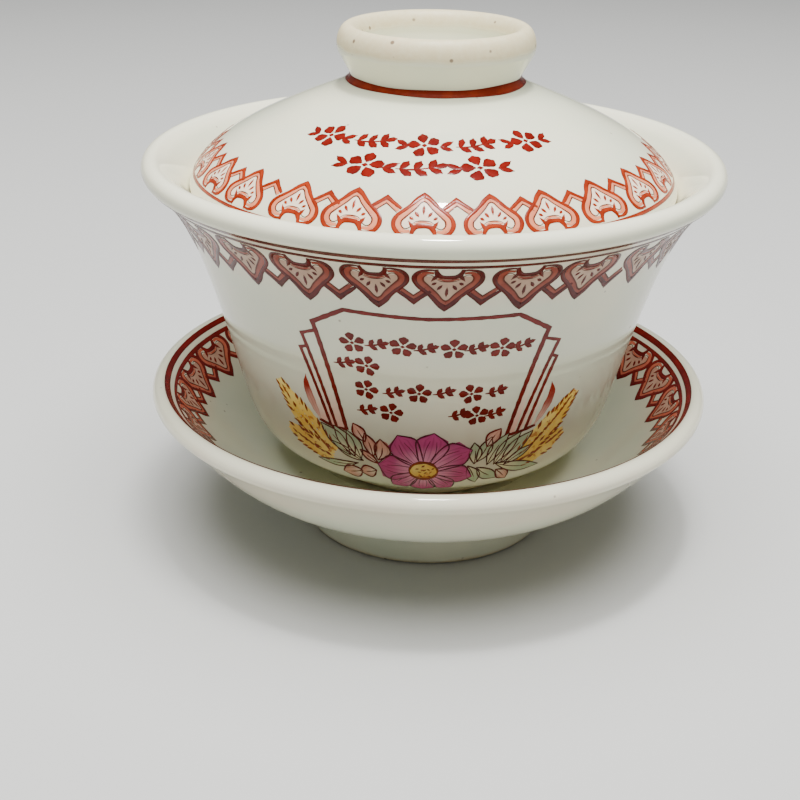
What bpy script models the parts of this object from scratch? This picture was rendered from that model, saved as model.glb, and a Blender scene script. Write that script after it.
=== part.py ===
"""Gaiwan: a glazed porcelain cup with a lid that sits down in its mouth and a saucer under its foot.

Metres, +Z up. All three pieces are turned about the Z axis, and the saucer's foot stands on Z = 0.
Each piece is drawn in its own frame, with Z = 0 where it rests, and is then set on the one below.
"""

import math

import bmesh
import bpy
from mathutils import Vector
from mathutils.geometry import interpolate_bezier

MM = 0.001

# Fit between the pieces
SEAT_GAP = 0.3 * MM        # between a piece and the one that it rests on
WELL_CLEARANCE = 1.5 * MM  # around the cup's foot, inside the saucer's well

# Saucer
SAUCER_RADIUS = 53.1 * MM
SAUCER_HEIGHT = 30.0 * MM
SAUCER_WALL = 3.4 * MM
SAUCER_FLOOR = 3.4 * MM
SAUCER_RIM_SLOPE = math.radians(44)
SAUCER_FOOT_RADIUS = 24.3 * MM
SAUCER_FOOT_WIDTH = 3.6 * MM
SAUCER_FOOT_HEIGHT = 9.4 * MM
WELL_DEPTH = 0.8 * MM      # of the flat recess that holds the cup's foot

# Cup
CUP_HEIGHT = 60.3 * MM
CUP_WALL = 2.7 * MM
CUP_LIP = 3.8 * MM         # thickness of the rolled lip
CUP_FLARE = math.radians(36)
CUP_TAPER = math.radians(76)
LIP_REACH = 8.4 * MM       # how far the lip stands out past the lid's edge
BELLY_RADIUS = 34.3 * MM   # mid-wall, where the belly runs into the taper
BELLY_HEIGHT = 17.9 * MM
CUP_FOOT_RADIUS = 20.5 * MM
CUP_FOOT_WIDTH = 3.2 * MM
CUP_FOOT_HEIGHT = 4.2 * MM

# Lid
LID_RADIUS = 44.1 * MM
LID_WALL = 2.4 * MM
LID_RISE = 18.0 * MM       # from the middle of the rounded edge to the foot of the knob
LID_EDGE_SLOPE = math.radians(104)
LID_CROWN_SLOPE = math.radians(157)
KNOB_NECK_RADIUS = 15.2 * MM
KNOB_FLARE = 2.3 * MM      # how far the bead stands out past the neck
KNOB_HEIGHT = 9.6 * MM     # above the foot of the knob
KNOB_RING = 4.1 * MM       # from the knob's outside to its recess
KNOB_RECESS = 6.2 * MM     # depth of the recess in the knob

# Small rounds
FOOT_BEVEL = 1.3 * MM
FILLET = 1.2 * MM

# How full each curve is: its two handles, as shares of its length
DISH_PULL = (0.46, 0.30)
BOWL_PULL = (0.56, 0.38)
WALL_PULL = (0.60, 0.20)
DOME_PULL = (0.21, 0.42)
CAP_PULL = (0.30, 0.40)
BEAD_STRETCH = 1.6         # height of the knob's bead over its width

# Facets
TURN_STEPS = 60            # around each piece
CURVE_STEPS = 5            # along a curve; twice as many along a long one
ROUND_STEPS = 6            # around a lip
BEAD_STEPS = 9             # around the knob's bead
FILLET_STEPS = 2           # around a small round


def heading(angle):
    """Unit vector in the outline's plane: X is the radius and Y the height."""
    return Vector((math.cos(angle), math.sin(angle)))


def curve(start, start_heading, end, end_heading, pull, steps=CURVE_STEPS):
    """Bezier that leaves its start and reaches its end along the two headings."""
    length = (end - start).length
    start_handle = start + pull[0] * length * start_heading
    end_handle = end - pull[1] * length * end_heading
    points = interpolate_bezier(start, start_handle, end_handle, end, steps + 1)
    return [Vector(point[:2]) for point in points]


def arc(centre, radius, first, last, steps=ROUND_STEPS):
    """Points on a circle from the first angle to the last."""
    turn = (last - first) / steps
    return [centre + radius * heading(first + turn * step) for step in range(steps + 1)]


def joined(*lines):
    """One line from several, without the points that two of them share."""
    result = []
    for line in lines:
        for point in line:
            if not result or (point - result[-1]).length > 0.01 * MM:
                result.append(point)
    return result


def offset(line, start_distance, end_distance):
    """The line moved to its left, by a distance that changes evenly from its start to its end."""
    lengths = [0.0]
    for before, after in zip(line, line[1:]):
        lengths.append(lengths[-1] + (after - before).length)
    moved = []
    for index, point in enumerate(line):
        before = line[max(index - 1, 0)]
        after = line[min(index + 1, len(line) - 1)]
        along = (after - before).normalized()
        share = lengths[index] / lengths[-1]
        distance = start_distance + (end_distance - start_distance) * share
        moved.append(point + distance * Vector((-along.y, along.x)))
    return moved


def foot_ring(radius, width, underside):
    """A turned foot, from the underside inside it, round its flat base, up to the wall outside."""
    bevel = min(FOOT_BEVEL, 0.4 * width, 0.4 * underside)
    fillet = min(FILLET, 0.4 * underside)
    inner = radius - width
    root = Vector((inner - fillet, underside - fillet))
    return joined(
        [Vector((0.0, underside))],
        arc(root, fillet, math.pi / 2, 0.0, FILLET_STEPS),
        [Vector((inner + 0.4 * bevel, 0.3 * bevel)), Vector((inner + 0.7 * bevel, 0.0))],
        [Vector((radius - 1.3 * bevel, 0.0)), Vector((radius - 0.5 * bevel, 0.4 * bevel))],
        [Vector((radius, 1.3 * bevel)), Vector((radius, underside - fillet))],
    )


def saucer_outline():
    """The dish on its foot, and the height of the well's floor."""
    half = SAUCER_WALL / 2
    well_radius = CUP_FOOT_RADIUS + WELL_CLEARANCE
    well_floor = SAUCER_FOOT_HEIGHT + SAUCER_FLOOR
    ledge = well_floor + WELL_DEPTH
    start = Vector((max(well_radius, SAUCER_FOOT_RADIUS) + half, ledge - half))
    rim_centre = Vector((SAUCER_RADIUS - half, SAUCER_HEIGHT - half))
    rim_heading = heading(SAUCER_RIM_SLOPE)
    dish = curve(start, Vector((1.0, 0.0)), rim_centre, rim_heading, DISH_PULL)
    outside = offset(dish, -half, -half)
    inside = offset(dish, half, half)
    rim = arc(rim_centre, half, SAUCER_RIM_SLOPE - math.pi / 2, SAUCER_RIM_SLOPE + math.pi / 2)
    foot = foot_ring(SAUCER_FOOT_RADIUS, SAUCER_FOOT_WIDTH, SAUCER_FOOT_HEIGHT)
    well = [
        Vector((well_radius + 0.5 * WELL_DEPTH, ledge)),
        Vector((well_radius, well_floor)),
        Vector((0.0, well_floor)),
    ]
    return joined(foot, outside[1:-1], rim, inside[-2::-1], well), well_floor


def cup_outline():
    """The cup on its foot, and the inner wall that the lid seats on."""
    half = CUP_WALL / 2
    lip_half = CUP_LIP / 2
    floor_edge = Vector((CUP_FOOT_RADIUS, CUP_FOOT_HEIGHT + half))
    belly = Vector((BELLY_RADIUS, BELLY_HEIGHT))
    lip_centre = Vector((LID_RADIUS + LIP_REACH - lip_half, CUP_HEIGHT - lip_half))
    taper = heading(CUP_TAPER)
    bowl = curve(floor_edge, Vector((1.0, 0.0)), belly, taper, BOWL_PULL)
    wall = curve(belly, taper, lip_centre, heading(CUP_FLARE), WALL_PULL, 2 * CURVE_STEPS)
    line = joined(bowl, wall)
    inside = offset(line, half, lip_half)
    outside = [
        point
        for point in offset(line, -half, -lip_half)
        if point.x > CUP_FOOT_RADIUS + FILLET
    ]
    lip = arc(lip_centre, lip_half, CUP_FLARE - math.pi / 2, CUP_FLARE + math.pi / 2)
    foot = foot_ring(CUP_FOOT_RADIUS, CUP_FOOT_WIDTH, CUP_FOOT_HEIGHT)
    floor = [Vector((0.0, CUP_FOOT_HEIGHT + CUP_WALL))]
    return joined(foot, outside[:-1], lip, inside[-2::-1], floor), inside


def lid_outline():
    """The dome with its ring knob, with Z = 0 at the middle of the rounded edge."""
    half = LID_WALL / 2
    edge = Vector((LID_RADIUS - half, 0.0))
    shoulder = Vector((KNOB_NECK_RADIUS, LID_RISE - half))
    recess_floor = LID_RISE + KNOB_HEIGHT - KNOB_RECESS
    crown = Vector((0.0, recess_floor - half))
    slope = heading(LID_CROWN_SLOPE)
    dome = curve(edge, heading(LID_EDGE_SLOPE), shoulder, slope, DOME_PULL, 2 * CURVE_STEPS)
    cap = curve(shoulder, slope, crown, Vector((-1.0, 0.0)), CAP_PULL)
    inside = offset(joined(dome, cap), half, half)
    inside[-1].x = 0.0
    outside = [
        point
        for point in offset(dome, -half, -half)
        if point.x > KNOB_NECK_RADIUS + 1.5 * FILLET
    ]
    rim = arc(edge, half, LID_EDGE_SLOPE + math.pi / 2, LID_EDGE_SLOPE + 3 * math.pi / 2)
    return joined(inside[::-1], rim[1:], outside[1:], knob_line(recess_floor))


def knob_line(recess_floor):
    """The ring knob: out from its neck, over the bead and down into its recess."""
    top = LID_RISE + KNOB_HEIGHT
    bead_width = KNOB_RING / 2
    bead_height = BEAD_STRETCH * bead_width
    bead_radius = KNOB_NECK_RADIUS + KNOB_FLARE - bead_width
    neck_root = Vector((KNOB_NECK_RADIUS + FILLET, LID_RISE + FILLET))
    neck = arc(neck_root, FILLET, math.radians(245), math.radians(170), FILLET_STEPS)
    around = arc(Vector((0.0, 0.0)), 1.0, math.radians(-20), math.radians(190), BEAD_STEPS)
    bead = [
        Vector((bead_radius + bead_width * point.x, top + bead_height * (point.y - 1)))
        for point in around
    ]
    recess_root = Vector((bead_radius - bead_width - 1.4 * FILLET, recess_floor + FILLET))
    root = arc(recess_root, FILLET, 0.0, -math.pi / 2, FILLET_STEPS)
    return joined(neck, bead, root, [Vector((0.0, recess_floor))])


def seat_height(wall, ring_radius, reach):
    """Height at which a ring round the axis comes this close to the wall as it is lowered."""
    path = offset(wall, reach, reach)
    heights = []
    for below, above in zip(path, path[1:]):
        if below.x <= ring_radius <= above.x:
            share = (ring_radius - below.x) / (above.x - below.x)
            heights.append(below.lerp(above, share).y)
    return max(heights)


def glaze(name, colour, roughness):
    """A plain glazed finish."""
    material = bpy.data.materials.new(name)
    material.use_nodes = True
    shader = material.node_tree.nodes["Principled BSDF"]
    shader.inputs["Base Color"].default_value = colour
    shader.inputs["Roughness"].default_value = roughness
    shader.inputs["Metallic"].default_value = 0.0
    return material


def turned(name, outline, material):
    """A solid turned from its outline, which starts and ends on the axis."""
    work = bmesh.new()
    points = [work.verts.new((point.x, 0.0, point.y)) for point in outline]
    edges = [work.edges.new(pair) for pair in zip(points, points[1:])]
    bmesh.ops.spin(
        work,
        geom=points + edges,
        cent=(0.0, 0.0, 0.0),
        axis=(0.0, 0.0, 1.0),
        angle=math.tau,
        steps=TURN_STEPS,
    )
    bmesh.ops.remove_doubles(work, verts=work.verts, dist=0.002 * MM)
    bmesh.ops.recalc_face_normals(work, faces=work.faces)
    mesh = bpy.data.meshes.new(name)
    work.to_mesh(mesh)
    work.free()
    mesh.shade_smooth()
    mesh.set_sharp_from_angle(angle=math.radians(50))
    mesh.materials.append(material)
    piece = bpy.data.objects.new(name, mesh)
    bpy.context.collection.objects.link(piece)
    return piece


def build():
    """Make the three pieces and set each on the one below."""
    for old in list(bpy.data.objects):
        bpy.data.objects.remove(old)

    saucer_line, well_floor = saucer_outline()
    cup_line, inner_wall = cup_outline()
    edge_half = LID_WALL / 2

    saucer = turned("saucer", saucer_line, glaze("saucer_glaze", (0.76, 0.77, 0.69, 1.0), 0.12))
    cup = turned("cup", cup_line, glaze("cup_glaze", (0.78, 0.79, 0.71, 1.0), 0.12))
    lid = turned("lid", lid_outline(), glaze("lid_glaze", (0.77, 0.79, 0.71, 1.0), 0.12))

    cup.parent = saucer
    cup.location.z = well_floor + SEAT_GAP
    lid.parent = cup
    lid.location.z = seat_height(inner_wall, LID_RADIUS - edge_half, edge_half + SEAT_GAP)


build()
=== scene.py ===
"""Looks of the gaiwan: glazed porcelain with a lappet border, a panel, a blossom and wheat ears.

Metres, +Z up. The front of the cup faces -Y. Each ware is turned from its outline, and what is
painted on it is laid on as thin enamel.
"""

import math
import random

import bpy
from mathutils import Matrix, Vector
from mathutils.geometry import interpolate_bezier


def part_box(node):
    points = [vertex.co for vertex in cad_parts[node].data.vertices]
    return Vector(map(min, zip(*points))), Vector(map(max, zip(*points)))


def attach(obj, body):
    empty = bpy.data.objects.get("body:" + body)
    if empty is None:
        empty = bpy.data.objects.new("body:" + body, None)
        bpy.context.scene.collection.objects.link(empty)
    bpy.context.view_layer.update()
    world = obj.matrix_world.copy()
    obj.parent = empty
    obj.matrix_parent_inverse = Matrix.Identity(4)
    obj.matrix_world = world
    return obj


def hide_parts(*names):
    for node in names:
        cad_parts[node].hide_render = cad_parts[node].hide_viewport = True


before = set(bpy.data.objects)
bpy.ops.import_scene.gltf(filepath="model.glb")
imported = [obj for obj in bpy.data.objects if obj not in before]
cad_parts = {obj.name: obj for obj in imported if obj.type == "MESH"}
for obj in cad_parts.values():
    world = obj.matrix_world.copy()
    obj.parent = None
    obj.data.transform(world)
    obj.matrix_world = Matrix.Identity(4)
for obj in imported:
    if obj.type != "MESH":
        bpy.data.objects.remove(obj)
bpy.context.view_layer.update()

MM = 0.001
HAND = random.Random(7)    # the unevenness of painting by hand

# ---------------- the wares' outlines

SAUCER_RADIUS = 53.1 * MM
SAUCER_HEIGHT = 30.0 * MM
SAUCER_WALL = 3.4 * MM
SAUCER_FLOOR = 3.4 * MM
SAUCER_RIM_SLOPE = math.radians(44)
SAUCER_FOOT_RADIUS = 24.3 * MM
SAUCER_FOOT_WIDTH = 3.6 * MM
SAUCER_FOOT_HEIGHT = 9.4 * MM
WELL_RADIUS = 22.0 * MM
WELL_DEPTH = 0.8 * MM

CUP_HEIGHT = 60.3 * MM
CUP_WALL = 2.7 * MM
CUP_LIP = 3.8 * MM
CUP_FLARE = math.radians(36)
CUP_TAPER = math.radians(76)
CUP_LIP_RADIUS = 52.5 * MM
BELLY_RADIUS = 34.3 * MM
BELLY_HEIGHT = 17.9 * MM
CUP_FOOT_RADIUS = 20.5 * MM
CUP_FOOT_WIDTH = 3.2 * MM
CUP_FOOT_HEIGHT = 4.2 * MM

LID_RADIUS = 44.1 * MM
LID_WALL = 2.4 * MM
LID_RISE = 18.0 * MM
LID_EDGE_SLOPE = math.radians(104)
LID_CROWN_SLOPE = math.radians(157)
KNOB_NECK_RADIUS = 15.2 * MM
KNOB_FLARE = 2.3 * MM
KNOB_HEIGHT = 9.6 * MM
KNOB_RING = 4.1 * MM
KNOB_RECESS = 6.2 * MM

FOOT_BEVEL = 1.3 * MM
FILLET = 1.2 * MM
NECK_STEPS = 8
TURN_STEPS = 192


def heading(angle):
    """Unit vector in the outline's plane: X is the radius and Y the height."""
    return Vector((math.cos(angle), math.sin(angle)))


def curve(start, start_heading, end, end_heading, pull, steps):
    """Bezier that leaves its start and reaches its end along the two headings."""
    length = (end - start).length
    start_handle = start + pull[0] * length * start_heading
    end_handle = end - pull[1] * length * end_heading
    points = interpolate_bezier(start, start_handle, end_handle, end, steps + 1)
    return [Vector(point[:2]) for point in points]


def arc(centre, radius, first, last, steps=12):
    """Points on a circle from the first angle to the last."""
    turn = (last - first) / steps
    return [centre + radius * heading(first + turn * step) for step in range(steps + 1)]


def joined(*lines):
    """One line from several, without the points that two of them share."""
    result = []
    for line in lines:
        for point in line:
            if not result or (point - result[-1]).length > 0.01 * MM:
                result.append(point)
    return result


def lengths_along(line):
    """How far along the line each of its points is."""
    lengths = [0.0]
    for before, after in zip(line, line[1:]):
        lengths.append(lengths[-1] + (after - before).length)
    return lengths


def left_of(along):
    return Vector((-along.y, along.x))


def offset(line, start_distance, end_distance):
    """The line moved to its left, by a distance that changes evenly from its start to its end."""
    lengths = lengths_along(line)
    moved = []
    for index, point in enumerate(line):
        before = line[max(index - 1, 0)]
        after = line[min(index + 1, len(line) - 1)]
        along = (after - before).normalized()
        share = lengths[index] / lengths[-1]
        distance = start_distance + (end_distance - start_distance) * share
        moved.append(point + distance * left_of(along))
    return moved


def foot_ring(radius, width, underside):
    """A turned foot, from the underside inside it, round its flat base, up to the wall outside."""
    bevel = min(FOOT_BEVEL, 0.4 * width)
    inner = radius - width
    root = Vector((inner - FILLET, underside - FILLET))
    inner_base = Vector((inner + 0.6 * bevel, 0.6 * bevel))
    outer_base = Vector((radius - bevel, bevel))
    return joined(
        [Vector((0.0, underside)), Vector((0.5 * inner, underside))],
        arc(root, FILLET, math.pi / 2, 0.0, 6),
        arc(inner_base, 0.6 * bevel, math.pi, 1.5 * math.pi, 5),
        arc(outer_base, bevel, -math.pi / 2, 0.0, 6),
        [Vector((radius, underside - FILLET))],
    )


def saucer_lines():
    """The saucer's outline, and the line of its inside from the rim down to the well."""
    half = SAUCER_WALL / 2
    well_floor = SAUCER_FOOT_HEIGHT + SAUCER_FLOOR
    ledge = well_floor + WELL_DEPTH
    start = Vector((SAUCER_FOOT_RADIUS + half, ledge - half))
    rim_centre = Vector((SAUCER_RADIUS - half, SAUCER_HEIGHT - half))
    dish = curve(
        start, Vector((1.0, 0.0)), rim_centre, heading(SAUCER_RIM_SLOPE), (0.46, 0.30), 40
    )
    outside = offset(dish, -half, -half)
    inside = offset(dish, half, half)
    rim = arc(rim_centre, half, SAUCER_RIM_SLOPE - math.pi / 2, SAUCER_RIM_SLOPE + math.pi / 2)
    foot = foot_ring(SAUCER_FOOT_RADIUS, SAUCER_FOOT_WIDTH, SAUCER_FOOT_HEIGHT)
    bank = curve(
        Vector((WELL_RADIUS + 0.9 * WELL_DEPTH, ledge)), Vector((-1.0, 0.0)),
        Vector((WELL_RADIUS - 0.5 * WELL_DEPTH, well_floor)), Vector((-1.0, 0.0)), (0.5, 0.5), 8,
    )
    floor = [Vector((0.5 * WELL_RADIUS, well_floor)), Vector((0.0, well_floor))]
    return joined(foot, outside[1:-1], rim, inside[-2::-1], bank, floor), inside[::-1]


def cup_lines():
    """The cup's outline, and the line of its outside from the foot up to the lip."""
    half = CUP_WALL / 2
    lip_half = CUP_LIP / 2
    floor_edge = Vector((CUP_FOOT_RADIUS, CUP_FOOT_HEIGHT + half))
    belly = Vector((BELLY_RADIUS, BELLY_HEIGHT))
    lip_centre = Vector((CUP_LIP_RADIUS - lip_half, CUP_HEIGHT - lip_half))
    taper = heading(CUP_TAPER)
    bowl = curve(floor_edge, Vector((1.0, 0.0)), belly, taper, (0.56, 0.38), 28)
    wall = curve(belly, taper, lip_centre, heading(CUP_FLARE), (0.60, 0.20), 64)
    line = joined(bowl, wall)
    inside = offset(line, half, lip_half)
    outside = [
        point
        for point in offset(line, -half, -lip_half)
        if point.x > CUP_FOOT_RADIUS + FILLET
    ]
    lip = arc(lip_centre, lip_half, CUP_FLARE - math.pi / 2, CUP_FLARE + math.pi / 2, 16)
    foot = foot_ring(CUP_FOOT_RADIUS, CUP_FOOT_WIDTH, CUP_FOOT_HEIGHT)
    root = curve(
        Vector((CUP_FOOT_RADIUS, CUP_FOOT_HEIGHT - FILLET)), Vector((0.0, 1.0)),
        outside[0], (outside[1] - outside[0]).normalized(), (0.5, 0.5), 6,
    )
    floor_height = CUP_FOOT_HEIGHT + CUP_WALL
    floor = [Vector((0.5 * CUP_FOOT_RADIUS, floor_height)), Vector((0.0, floor_height))]
    return joined(foot, root, outside[1:-1], lip, inside[-2::-1], floor), outside


def lid_lines():
    """The lid's outline, and the line of its outside from the edge up to the knob."""
    half = LID_WALL / 2
    edge = Vector((LID_RADIUS - half, 0.0))
    shoulder = Vector((KNOB_NECK_RADIUS, LID_RISE - half))
    recess_floor = LID_RISE + KNOB_HEIGHT - KNOB_RECESS
    crown = Vector((0.0, recess_floor - half))
    slope = heading(LID_CROWN_SLOPE)
    dome = curve(edge, heading(LID_EDGE_SLOPE), shoulder, slope, (0.21, 0.42), 56)
    cap = curve(shoulder, slope, crown, Vector((-1.0, 0.0)), (0.30, 0.40), 16)
    inside = offset(joined(dome, cap), half, half)
    inside[-1].x = 0.0
    outside = [
        point
        for point in offset(dome, -half, -half)
        if point.x > KNOB_NECK_RADIUS + 1.5 * FILLET
    ]
    rim = arc(edge, half, LID_EDGE_SLOPE + math.pi / 2, LID_EDGE_SLOPE + 3 * math.pi / 2, 14)
    knob = knob_line(recess_floor)
    return joined(inside[::-1], rim[1:], outside[1:], knob), joined(
        outside, knob[:NECK_STEPS + 1]
    )


def knob_line(recess_floor):
    """The ring knob: out from its neck, over the bead and down into its recess."""
    top = LID_RISE + KNOB_HEIGHT
    bead_width = KNOB_RING / 2
    bead_height = 1.6 * bead_width
    bead_radius = KNOB_NECK_RADIUS + KNOB_FLARE - bead_width
    neck_root = Vector((KNOB_NECK_RADIUS + FILLET, LID_RISE + FILLET))
    neck = arc(neck_root, FILLET, math.radians(245), math.radians(170), NECK_STEPS)
    around = arc(Vector((0.0, 0.0)), 1.0, math.radians(-20), math.radians(190), 32)
    bead = [
        Vector((bead_radius + bead_width * point.x, top + bead_height * (point.y - 1)))
        for point in around
    ]
    recess_root = Vector((bead_radius - bead_width - 1.4 * FILLET, recess_floor + FILLET))
    root = arc(recess_root, FILLET, 0.0, -math.pi / 2, 8)
    floor = [Vector((0.5 * KNOB_NECK_RADIUS, recess_floor)), Vector((0.0, recess_floor))]
    return joined(neck, bead, root, floor)


def raised(line, height):
    """The line at its place in the stacked gaiwan."""
    return [point + Vector((0.0, height)) for point in line]


SAUCER_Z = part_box("saucer")[0].z
CUP_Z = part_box("cup")[0].z
LID_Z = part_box("lid")[1].z - LID_RISE - KNOB_HEIGHT

# ---------------- finishes


class Wire:
    """A node's output, on which plain arithmetic adds Math nodes."""

    def __init__(self, finish, socket):
        self.finish = finish
        self.socket = socket

    def math(self, operation, first, second):
        return self.finish.node("ShaderNodeMath", {0: first, 1: second}, operation=operation)

    def __add__(self, other):
        return self.math("ADD", self, other)

    def __sub__(self, other):
        return self.math("SUBTRACT", self, other)

    def __rsub__(self, other):
        return self.math("SUBTRACT", other, self)

    def __mul__(self, other):
        return self.math("MULTIPLY", self, other)

    def __pow__(self, other):
        return self.math("POWER", self, other)

    __radd__ = __add__
    __rmul__ = __mul__


class Finish:
    """A material while it is being mixed."""

    def __init__(self, name, roughness=0.1, sheen=0.5):
        self.material = bpy.data.materials.new(name)
        self.material.use_nodes = True
        self.tree = self.material.node_tree
        self.shader = self.tree.nodes["Principled BSDF"]
        self.shader.inputs["Roughness"].default_value = roughness
        self.shader.inputs["Specular IOR Level"].default_value = sheen
        self.place = self.node("ShaderNodeTexCoord", output="Object")

    def node(self, kind, inputs=None, output=0, **settings):
        """Add a node with its settings and the values or wires of its sockets."""
        made = self.tree.nodes.new(kind)
        for name, value in settings.items():
            setattr(made, name, value)
        for name, value in (inputs or {}).items():
            if isinstance(value, Wire):
                self.tree.links.new(value.socket, made.inputs[name])
            else:
                made.inputs[name].default_value = value
        return Wire(self, made.outputs[output])

    def noise(self, scale, detail=2.0, roughness=0.5, vector=None):
        inputs = {
            "Vector": vector or self.place,
            "Scale": scale,
            "Detail": detail,
            "Roughness": roughness,
        }
        return self.node("ShaderNodeTexNoise", inputs)

    def fade(self, value, low, high, start=0.0, end=1.0):
        """A smooth change from start to end as the value goes from low to high."""
        inputs = {
            "Value": value, "From Min": low, "From Max": high, "To Min": start, "To Max": end,
        }
        return self.node("ShaderNodeMapRange", inputs, interpolation_type="SMOOTHSTEP")

    def blend(self, share, first, second):
        """Two colours mixed."""
        return self.node("ShaderNodeMix", {0: share, 6: first, 7: second}, 2, data_type="RGBA")

    def split(self, vector):
        parts = self.tree.nodes.new("ShaderNodeSeparateXYZ")
        self.tree.links.new(vector.socket, parts.inputs[0])
        return [Wire(self, parts.outputs[axis]) for axis in range(3)]

    def radius(self):
        """Distance from the Z axis, and the height."""
        x, y, height = self.split(self.place)
        return (x * x + y * y) ** 0.5, height

    def stroke(self):
        """Shares of the way along a brush stroke and across it."""
        return self.split(self.node("ShaderNodeUVMap", uv_map="Stroke"))[:2]

    def bump(self, height, distance):
        inputs = {"Height": height, "Distance": distance}
        self.set("Normal", self.node("ShaderNodeBump", inputs))

    def set(self, name, wire):
        self.tree.links.new(wire.socket, self.shader.inputs[name])


def colour(red, green, blue):
    """A colour given in the shares that a painter sees, as linear light."""
    return tuple(part ** 2.2 for part in (red, green, blue)) + (1.0,)


GLAZE_COOL = colour(0.842, 0.858, 0.757)
GLAZE_WARM = colour(0.888, 0.880, 0.772)
GLAZE_THIN = colour(0.935, 0.925, 0.825)
GLAZE_BLUSH = colour(0.900, 0.790, 0.700)
BARE_CLAY = colour(0.845, 0.780, 0.610)
CLAY_BLUSH = colour(0.870, 0.710, 0.560)
IRON_SPECK = colour(0.420, 0.320, 0.240)
GLAZE_SHEEN = 0.65
ENAMEL_SHEEN = 0.25
SPECKS_PER_METRE = 420.0
BLEED = 1.2 * MM
RELIEF = 0.05 * MM


def glaze(name, thin_edge, bare, border):
    """Celadon-white glaze: uneven tint, iron specks, a thin bright edge and a ring of bare clay.

    thin_edge is (height, half-width), bare is (radius, height, reach), and border is the
    (lowest, highest) height where red enamel has bled into the glaze around it.
    """
    finish = Finish(name, 0.06, GLAZE_SHEEN)
    radius, height = finish.radius()
    cloud = finish.fade(finish.noise(38.0, 3.0), 0.35, 0.68)
    tint = finish.blend(cloud, GLAZE_COOL, GLAZE_WARM)
    streak = finish.node(
        "ShaderNodeMapping", {"Vector": finish.place, "Scale": (30.0, 30.0, 260.0)}
    )
    turning = finish.noise(1.0, 2.0, vector=streak)
    tint = finish.blend(turning * 0.10, tint, GLAZE_THIN)
    edge_height, half_width = thin_edge
    from_edge = finish.node("ShaderNodeMath", {0: height - edge_height}, operation="ABSOLUTE")
    closeness = finish.fade(from_edge, half_width, 0.3 * half_width)
    tint = finish.blend(closeness * 0.75, tint, GLAZE_THIN)
    low, high = border
    above = finish.fade(height, low - BLEED, low + BLEED)
    below = finish.fade(height, high + BLEED, high - BLEED)
    cloudy = finish.fade(finish.noise(120.0, 2.0), 0.3, 0.7, 0.12, 0.34)
    tint = finish.blend(above * below * cloudy, tint, GLAZE_BLUSH)
    cells = {"Vector": finish.place, "Scale": SPECKS_PER_METRE}
    grains = finish.node("ShaderNodeTexVoronoi", cells)
    chance = finish.split(finish.node("ShaderNodeTexVoronoi", cells, output="Color"))
    speck = finish.fade(grains, 0.16, 0.06) * finish.fade(chance[0], 0.962, 0.975)
    tint = finish.blend(speck * 0.55, tint, IRON_SPECK)
    shine = finish.fade(finish.noise(70.0, 4.0), 0.3, 0.75, 0.025, 0.09)
    ring_radius, ring_height, reach = bare
    sideways = (radius - ring_radius) * (radius - ring_radius)
    upright = (height - ring_height) * (height - ring_height)
    distance = (sideways + upright) ** 0.5 + (finish.noise(160.0, 3.0) - 0.5) * (0.9 * MM)
    clay = finish.fade(distance, reach, 0.72 * reach)
    grain = finish.noise(900.0, 5.0, 0.7)
    blush = finish.fade(finish.noise(46.0, 2.0), 0.48, 0.66)
    earth = finish.blend(blush * 0.45, BARE_CLAY, CLAY_BLUSH)
    earth = finish.blend(finish.fade(grain, 0.35, 0.7) * 0.25, earth, GLAZE_THIN)
    tint = finish.blend(clay * 0.85, tint, earth)
    pit = finish.fade(grains, 0.19, 0.11) * finish.fade(chance[1], 0.35, 0.40)
    tint = finish.blend(pit * clay * 0.85, tint, IRON_SPECK)
    relief = finish.noise(150.0, 2.0) * 0.5 + grain * clay * 0.5 - speck
    finish.set("Base Color", tint)
    finish.set("Roughness", shine + clay * 0.42)
    finish.bump(relief + turning * 0.4, RELIEF)
    return finish.material


def enamel(name, deep, thin, loose):
    """Painted enamel: darker where it pools at a stroke's edges, uneven with the brush's load."""
    finish = Finish(name, 0.16, ENAMEL_SHEEN)
    deep, thin = colour(*deep), colour(*thin)
    across = finish.stroke()[1]
    off_centre = (across - 0.5) * (across - 0.5) * 4.0
    load = finish.fade(finish.noise(330.0, 3.0), 0.34, 0.66)
    dry = finish.fade(finish.noise(1500.0, 3.0, 0.6), 0.55, 0.75)
    tint = finish.blend(off_centre ** 1.5, thin, deep)
    tint = finish.blend(load * 0.55, tint, deep)
    tint = finish.blend(dry * loose, tint, thin)
    finish.set("Base Color", tint)
    finish.set("Roughness", load * 0.10 + 0.16)
    finish.bump(load * 0.6 + dry * 0.4, 0.4 * RELIEF)
    return finish.material


def shaded_enamel(name, root, tip, vein, veins):
    """Petal and leaf enamel: one colour at the root, another at the tip, fine veins between."""
    finish = Finish(name, 0.15, ENAMEL_SHEEN)
    root, tip, vein = colour(*root), colour(*tip), colour(*vein)
    along, across = finish.stroke()
    wash = finish.noise(260.0, 3.0) - 0.5
    tint = finish.blend(finish.fade(along + wash * 0.5, 0.05, 0.75), root, tip)
    ribs = finish.node(
        "ShaderNodeMath", {0: (across - 0.5) * (math.tau * veins) + wash * 2.0}, operation="COSINE"
    )
    fine = finish.fade(ribs, 0.55, 1.0) * finish.fade(along, 0.0, 0.35, 0.2, 0.6)
    tint = finish.blend(fine * 0.5, tint, vein)
    rim = (across - 0.5) * (across - 0.5) * 4.0
    tint = finish.blend((rim ** 3.0) * 0.55, tint, vein)
    finish.set("Base Color", tint)
    finish.set("Roughness", finish.fade(wash, -0.2, 0.2, 0.12, 0.24))
    finish.bump(ribs * 0.2 + wash, 0.6 * RELIEF)
    return finish.material


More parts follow.
